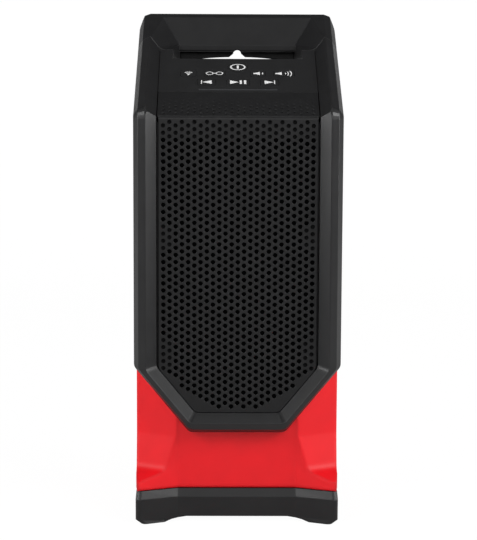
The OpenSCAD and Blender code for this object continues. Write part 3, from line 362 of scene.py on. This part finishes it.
def place_camera():
    """Looks at the front from slightly above, as the photograph does."""
    forward = Vector((-math.sin(YAW) * math.cos(PITCH), math.cos(YAW) * math.cos(PITCH), -math.sin(PITCH)))
    level = Vector((math.cos(YAW), math.sin(YAW), 0))
    down = forward.cross(level)
    right = level * math.cos(ROLL) + down * math.sin(ROLL)
    up = level * math.sin(ROLL) - down * math.cos(ROLL)
    data = bpy.data.cameras.new("camera")
    data.sensor_width = SENSOR_MM
    data.lens = FOCAL_PX / IMAGE_H * SENSOR_MM
    camera = bpy.data.objects.new("camera", data)
    camera.matrix_world = Matrix.Translation(EYE) @ Matrix((right, up, -forward)).transposed().to_4x4()
    bpy.context.scene.collection.objects.link(camera)
    bpy.context.scene.camera = camera


def soft_box(name, azimuth, elevation, size, watts):
    """A soft box at an angle round from the front and up from the floor, aimed at the object's middle."""
    azimuth, elevation = math.radians(azimuth), math.radians(elevation)
    toward = Vector((math.sin(azimuth) * math.cos(elevation), -math.cos(azimuth) * math.cos(elevation),
                     math.sin(elevation)))
    data = bpy.data.lights.new(name, "AREA")
    data.shape = "RECTANGLE"
    data.size, data.size_y = size
    data.energy = watts
    lamp = bpy.data.objects.new(name, data)
    lamp.location = LAMP_AIM + toward * LAMP_AWAY
    lamp.rotation_euler = (-toward).to_track_quat("-Z", "Y").to_euler()
    bpy.context.scene.collection.objects.link(lamp)


def surround():
    """A dim room that lights the object faintly, and is white to the camera and through glass."""
    world = bpy.data.worlds.new("surround")
    bpy.context.scene.world = world
    world.use_nodes = True
    world.node_tree.nodes.clear()
    tree = world.node_tree
    ray = add_node(tree, "ShaderNodeLightPath").outputs
    direct = add_node(tree, "ShaderNodeMath", {"operation": "MAXIMUM"},
                      {0: ray["Is Camera Ray"], 1: ray["Is Transmission Ray"]})
    shine = add_node(tree, "ShaderNodeMath", {"operation": "MULTIPLY"},
                     {0: ray["Is Glossy Ray"], 1: SURROUND_SHINE})
    white = add_node(tree, "ShaderNodeMath", {"operation": "MAXIMUM"},
                     {0: direct.outputs[0], 1: shine.outputs[0]})
    level = add_node(tree, "ShaderNodeMath", {"operation": "MAXIMUM"}, {0: white.outputs[0], 1: SURROUND})
    room = add_node(tree, "ShaderNodeBackground", None, {"Color": WHITE, "Strength": level.outputs[0]})
    add_node(tree, "ShaderNodeOutputWorld", None, {"Surface": room.outputs["Background"]})


def sweep_paper():
    """White paper: it keeps the object's shadow, and adds white to what the camera and reflections see."""
    paper, tree, out = new_material("white_paper_sweep")
    ray = add_node(tree, "ShaderNodeLightPath").outputs
    surface = add_node(tree, "ShaderNodeNewGeometry").outputs
    place = add_node(tree, "ShaderNodeSeparateXYZ", None, {0: surface["Position"]})
    behind = add_node(tree, "ShaderNodeMapRange", None, {
        "Value": place.outputs["Y"], "From Min": SHINE_FRONT_Y, "From Max": SHINE_BACK_Y,
        "To Min": SHINE_FRONT, "To Max": SHINE_BACK})
    shine = add_node(tree, "ShaderNodeMath", {"operation": "MULTIPLY"},
                     {0: ray["Is Glossy Ray"], 1: behind.outputs["Result"]})
    direct = add_node(tree, "ShaderNodeMath", {"operation": "MAXIMUM"},
                      {0: ray["Is Camera Ray"], 1: ray["Is Transmission Ray"]})
    seen = add_node(tree, "ShaderNodeMath", {"operation": "MULTIPLY"}, {0: direct.outputs[0], 1: SEEN_SHARE})
    share = add_node(tree, "ShaderNodeMath", {"operation": "MAXIMUM"},
                     {0: seen.outputs[0], 1: shine.outputs[0]})
    # The black plastic reflects a duller floor in front of it, as in the photograph
    tone = add_node(tree, "ShaderNodeMath", {"operation": "MULTIPLY_ADD"},
                    {0: ray["Is Glossy Ray"], 1: -PAPER_DULLER, 2: PAPER_TONE})
    sheet = add_node(tree, "ShaderNodeBsdfDiffuse", None, {"Color": tone.outputs[0]})
    glow = add_node(tree, "ShaderNodeEmission", None, {"Color": WHITE, "Strength": PAPER_WHITE})
    mixed = add_node(tree, "ShaderNodeMixShader", None,
                     {0: share.outputs[0], 1: sheet.outputs["BSDF"], 2: glow.outputs["Emission"]})
    # Seen from its back the paper is clear, so that it never hides the object
    clear = add_node(tree, "ShaderNodeBsdfTransparent")
    shown = add_node(tree, "ShaderNodeMixShader", None,
                     {0: surface["Backfacing"], 1: mixed.outputs["Shader"], 2: clear.outputs["BSDF"]})
    tree.links.new(shown.outputs["Shader"], out.inputs["Surface"])
    return paper


def paper_sweep():
    """A sheet of paper under the object that turns up behind it."""
    turns = [math.pi / 2 * k / SWEEP_TURN_STEPS for k in range(SWEEP_TURN_STEPS + 1)]
    path = [(-SWEEP_REACH, 0)]
    path += [(SWEEP_TURN_Y + SWEEP_TURN_R * math.sin(turn), SWEEP_TURN_R - SWEEP_TURN_R * math.cos(turn))
             for turn in turns]
    path.append((SWEEP_TURN_Y + SWEEP_TURN_R, SWEEP_TOP))
    across = (-SWEEP_REACH, -SWEEP_HALF, SWEEP_HALF, SWEEP_REACH)
    left, middle, right = range(3)
    built = bmesh.new()
    rows = [[built.verts.new((x, y, z)) for x in across] for y, z in path]
    for first, second in zip(rows, rows[1:]):
        for k in (left, middle, right) if first is rows[0] else (middle,):
            face = built.faces.new((first[k], first[k + 1], second[k + 1], second[k]))
            face.smooth = True
    mesh = bpy.data.meshes.new("paper_sweep")
    built.to_mesh(mesh)
    built.free()
    sweep = bpy.data.objects.new("paper_sweep", mesh)
    bpy.context.scene.collection.objects.link(sweep)
    mesh.materials.append(sweep_paper())


def light_stage():
    """Soft boxes at both sides, a dim surround, and a white paper sweep under and behind the object."""
    for name, azimuth, elevation, size, watts in LAMPS:
        soft_box(name, azimuth, elevation, size, watts)
    surround()
    paper_sweep()
    bpy.context.scene.view_settings.view_transform = "Standard"


def circle(x, z, radius):
    """Points of a circle in the plane of the grille, as x and z."""
    turns = [2 * math.pi * k / HOLE_SIDES for k in range(HOLE_SIDES)]
    return [Vector((x + radius * math.cos(turn), z + radius * math.sin(turn))) for turn in turns]


def loop_edges(start, count):
    """Edges of a closed loop of points that are numbered on from a start."""
    return [(start + k, start + (k + 1) % count) for k in range(count)]


def rounded(before, corner, after):
    """Points on the rounding of one of the cut corner's ends."""
    back, on = (before - corner).normalized(), (after - corner).normalized()
    half = math.acos(back.dot(on)) / 2
    middle = corner + (back + on).normalized() * CUT_R / math.sin(half)
    start = corner + back * CUT_R / math.tan(half) - middle
    turn = math.copysign(math.pi - 2 * half, back.y * on.x - back.x * on.y)
    return [middle + Matrix.Rotation(turn * k / CUT_STEPS, 2) @ start for k in range(CUT_STEPS + 1)]


def bridge(built, first, second):
    """Quads between two rings of points."""
    count = len(first)
    for k in range(count):
        face = built.faces.new((first[k], first[(k + 1) % count], second[(k + 1) % count], second[k]))
        face.smooth = True


def hole_centres(through):
    """Centres of the through holes, or of the blind dimples at the top and in front of bosses, as x and z."""
    for column in range(-HOLE_COLS, HOLE_COLS + 1):
        low = HOLE_LOW + max(0, abs(column) - CLIMB_COL) * HOLE_PITCH / 2
        low += HOLE_PITCH if abs(column) > STEP_COL else 0
        for place in range(HOLE_ROWS):
            row = place + ROW_SHIFT[column % 2]
            z = HOLE_LOW + row * HOLE_PITCH
            outer = abs(column) > HOLE_COLS - BLIND_COLS
            on_boss = outer and any(start < row < end for start, end in BOSS_ROWS)
            blind = place >= HOLE_ROWS - BLIND_ROWS or on_boss
            if low - LOW_SLACK < z < FLAT_TOP - HOLE_R and blind != through:
                yield column * HOLE_COL, z


def grille_piece(name, built, finish):
    """A piece of the grille, in place of the solid one."""
    piece = mesh_piece(name, built, finish, "body")
    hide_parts("front_grille")


def grille():
    """Pierced front: holes with a rounded edge go through, and blind dimples stop inside the sheet, with the
    dimples painted dark as shade.
    """
    top = Vector((GRILLE_X, FLAT_TOP))
    half = rounded(Vector((0, CUT_LOW.y)), CUT_LOW, CUT_HIGH) + rounded(CUT_LOW, CUT_HIGH, top) + [top]
    outline = half + [Vector((-p.x, p.y)) for p in reversed(half)]
    holes = [(x, z, HOLE_RINGS) for x, z in hole_centres(True)]
    holes += [(x, z, DIMPLE_RINGS) for x, z in hole_centres(False)]
    points = list(outline)
    edges = loop_edges(0, len(outline))
    for x, z, rings in holes:
        edges += loop_edges(len(points), HOLE_SIDES)
        points += circle(x, z, rings[0][0])
    flat, _, faces, *_ = delaunay_2d_cdt(points, edges, [], 1, OUTLINE_MERGE_MM)
    front, cups = bmesh.new(), bmesh.new()
    sheet = [front.verts.new(Vector((p.x, -GRILLE_Y, p.y)) * MM) for p in flat]
    for face in faces:
        rims = {(k - len(outline)) // HOLE_SIDES for k in face}
        if len(rims) > 1 or min(face) < len(outline):
            front.faces.new([sheet[k] for k in face])
    for x, z, rings in holes:
        blind = rings is DIMPLE_RINGS
        into = cups if blind else front
        made = [[into.verts.new(Vector((p.x, depth - GRILLE_Y, p.y)) * MM) for p in circle(x, z, radius)]
                for radius, depth in rings]
        for first, second in zip(made, made[1:]):
            bridge(into, first, second)
        if blind:
            into.faces.new(made[-1])
    for built in (front, cups):
        bmesh.ops.remove_doubles(built, verts=built.verts, dist=MERGE)
        bmesh.ops.recalc_face_normals(built, faces=built.faces)
    grille_piece("grille_front", front, grille_abs)
    # The blind dimples, walls and floors, take the dark finish: painted shade in the hollows
    grille_piece("grille_shaded_dimples", cups, dimple_shade_abs)


def dent(x, run):
    """How deep the sheet is dented at a place, by its run from the bend's low edge."""
    near = round(x / HOLE_COL)
    for column in (near - 1, near, near + 1):
        shift = ROW_SHIFT[column % 2]
        row = round((run + FLAT_TOP - HOLE_LOW) / HOLE_PITCH - shift)
        centre = HOLE_LOW + (row + shift) * HOLE_PITCH - FLAT_TOP
        away = math.hypot(x - column * HOLE_COL, run - centre)
        if away < DENT_R and abs(column) <= HOLE_COLS and BEND_ARC < centre < DENT_FADE:
            return (1 - centre / DENT_FADE) * (1 - (away / DENT_R) ** 2) ** 2
    return 0


def grille_bend():
    """The grille's folded top: the holes go on as dents that fade out up the slope, their floors painted dark
    as shade.
    """
    columns, rows = round(2 * SLOPE_X / DENT_STEP), round(SLOPE_RUN / DENT_STEP)
    grid, depths = [], []
    for row in range(rows + 1):
        run = SLOPE_RUN * row / rows
        angle = min(run, BEND_ARC) / BEND_R
        out = Vector((0, -math.cos(angle), math.sin(angle)))
        along = Vector((0, math.sin(angle), math.cos(angle)))
        on_arc = Vector((0, BEND_R - GRILLE_Y, FLAT_TOP)) + out * BEND_R
        path = on_arc + along * max(0, run - BEND_ARC)
        half = GRILLE_X + (SLOPE_X - GRILLE_X) * min(1, run / BEND_ARC)
        across = [half * (2 * column / columns - 1) for column in range(columns + 1)]
        depths.append([dent(x, run) for x in across])
        grid.append([(path + Vector((x, 0, 0)) - out * deep) * MM for x, deep in zip(across, depths[-1])])
    sheet, floors = bmesh.new(), bmesh.new()
    for row in range(rows):
        for column in range(columns):
            corners = [(row, column), (row, column + 1), (row + 1, column + 1), (row + 1, column)]
            # A dent's floor past that depth takes the dark finish: painted shade
            into = floors if min(depths[i][j] for i, j in corners) > DENT_SHADE_DEPTH else sheet
            face = into.faces.new([into.verts.new(grid[i][j]) for i, j in corners])
            face.smooth = True
    for built in (sheet, floors):
        bmesh.ops.remove_doubles(built, verts=built.verts, dist=MERGE)
    grille_piece("grille_top", sheet, grille_abs)
    grille_piece("grille_top_shaded_dents", floors, dimple_shade_abs)


def bar(left, right, half):
    """A straight stroke of a symbol, half its height each way."""
    return [[(left, -half), (right, -half), (right, half), (left, half)]]


def arrow(tip, back):
    """A solid arrowhead of a symbol."""
    half = math.copysign(ARROW_HALF, tip - back)
    return [[(tip, 0), (back, half), (back, -half)]]


def arc_stroke(x, up, radius, stroke, start, end, flat=1):
    """A round stroke of a symbol, as a row of quads; flat squeezes it up the slope."""
    count = max(ARC_LEAST_STEPS, round(abs(end - start) / ARC_STEP_DEG))
    turns = [math.radians(start + (end - start) * k / count) for k in range(count + 1)]
    inner, outer = ([(x + size * math.cos(turn), up + flat * size * math.sin(turn)) for turn in turns]
                    for size in (radius - stroke / 2, radius + stroke / 2))
    return [[inner[k], outer[k], outer[k + 1], inner[k + 1]] for k in range(count)]


def horn(left):
    """A loudspeaker symbol with its mouth to the right."""
    neck, mouth = left + 1.9, left + 4.6
    low, high = 0.9, 2.2
    return [[(left, -low), (neck, -low), (mouth, -high), (mouth, high), (neck, low), (left, low)]]


def symbol(name, at, shapes, body):
    """Prints a white symbol on a button, a film's thickness above its face."""
    built = bmesh.new()
    for shape in shapes:
        face = []
        for x, up in shape:
            x, up = x + at[0], up + at[1]
            y = up * math.cos(SLOPE) - FILM_T * math.sin(SLOPE) - GRILLE_Y
            z = FOLD_Z + up * math.sin(SLOPE) + FILM_T * math.cos(SLOPE)
            face.append(built.verts.new(Vector((x, y, z)) * MM))
        built.faces.new(face)
    bmesh.ops.remove_doubles(built, verts=built.verts, dist=MERGE)
    bmesh.ops.recalc_face_normals(built, faces=built.faces)
    mesh_piece(name, built, mark_ink, body)


def symbols():
    """The white symbols of the eight buttons, in millimetres from the middle of each."""
    shapes = {}
    shapes["power"] = arc_stroke(0, 0, 5.1, 1.05, 0, 360, 0.77) + bar(-0.7, 0.7, 2.3)
    shapes["wireless"] = arc_stroke(0, -2, 0.4, WAVE_STROKE, 0, 360)
    for radius in (2, 3.7):
        shapes["wireless"] += arc_stroke(0, -2, radius, WAVE_STROKE, 45, 135)
    shapes["link"] = []
    for x in (-3.5, 3.5):
        shapes["link"] += arc_stroke(x, 0, 2.4, THIN_STROKE, 0, 360, 0.8)
    shapes["link"] += bar(-1.6, 1.6, 0.4)
    shapes["volume_down"] = horn(-3.3) + arc_stroke(0, 0, 3.4, THIN_STROKE, -22, 22)
    shapes["volume_up"] = horn(-6.2)
    for radius, spread in ((3.2, 20), (5.2, 30), (7.4, 32)):
        shapes["volume_up"] += arc_stroke(-2, 0, radius, THIN_STROKE, -spread, spread)
    shapes["previous"] = bar(-3.8, -3.1, ARROW_HALF) + arrow(-2.9, 3.8)
    shapes["play"] = arrow(0.6, -5.7) + bar(1.2, 2.8, ARROW_HALF) + bar(4.3, 5.9, ARROW_HALF)
    shapes["next"] = arrow(3, -3.6) + bar(3.2, 3.9, ARROW_HALF)
    for button, at in SYMBOL_AT.items():
        symbol(button + "_symbol", at, shapes[button], button + "_button")


place_camera()
light_stage()
finish_solids()
grille()
grille_bend()
symbols()
for name, width in EDGE_MM.items():
    soften(name, width)
trim_folds("base_bumper", BUMPER_FOLDS)
